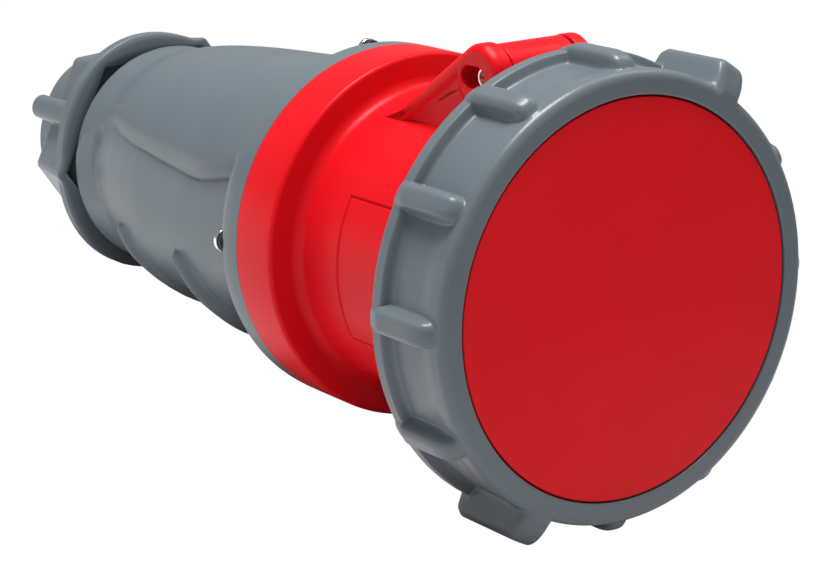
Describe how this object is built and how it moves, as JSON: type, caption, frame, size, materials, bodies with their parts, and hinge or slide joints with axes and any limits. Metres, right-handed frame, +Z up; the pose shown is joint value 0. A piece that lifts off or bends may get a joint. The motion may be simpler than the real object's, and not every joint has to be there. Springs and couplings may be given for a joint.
{
  "type": "industrial inline socket",
  "caption": "Industrial inline power socket: red housing with hinged lid, grey locking ring, grey cable handle and gland nut.",
  "frame": {"origin": "centre of the pilot contact's mouth, on the main axis", "axes": "+Z up, +X towards the cable, the part lying on its locking ring and gland nut so its long axis falls about 6 degrees to the cable end"},
  "size_m": [0.2757, 0.1226, 0.1252],
  "materials": {
    "red_plastic": "smooth moulded plastic",
    "grey_plastic": "smooth moulded plastic",
    "pale_plastic": "moulded plastic",
    "seal_rubber": "soft rubber",
    "contact_brass": "turned metal",
    "pin_steel": "rolled sheet",
    "screw_steel": "zinc plated"
  },
  "bodies": {
    "housing": {"front_housing": "red_plastic", "contact_carrier": "pale_plastic", "carrier_base": "pale_plastic", "carrier_plate": "pale_plastic", "handle": "grey_plastic", "thrust_ring": "pale_plastic", "cable_clamp": "pale_plastic", "gland_seal": "seal_rubber", "housing_seal": "seal_rubber", "housing_screws": "screw_steel", "terminal_screws": "screw_steel", "earth_sleeve": "contact_brass", "pilot_sleeve": "contact_brass", "neutral_sleeve": "contact_brass", "line_sleeve_1": "contact_brass", "line_sleeve_2": "contact_brass", "line_sleeve_3": "contact_brass"},
    "lid": {"lid": "red_plastic", "lid_seal": "seal_rubber", "hinge_pin": "pin_steel"},
    "ring": {"locking_ring": "grey_plastic"},
    "nut": {"gland_nut": "grey_plastic"}
  },
  "joints": [
    {"name": "lid_hinge", "type": "hinge", "parent": "housing", "child": "lid", "pos_m": [0.02878, 0.00956, 0.04889], "axis": [-0.0197, 0.9834, -0.1806], "range_deg": [0, 125]},
    {"name": "ring_turn", "type": "hinge", "parent": "lid", "child": "ring", "pos_m": [-0.00596, 0, 0.00065], "axis": [0.9941, 0, -0.1085], "range_deg": [0, 30]},
    {"name": "nut_turn", "type": "hinge", "parent": "housing", "child": "nut", "pos_m": [0.21443, 0, -0.02341], "axis": [0.9941, 0, -0.1085], "continuous": true}
  ]
}
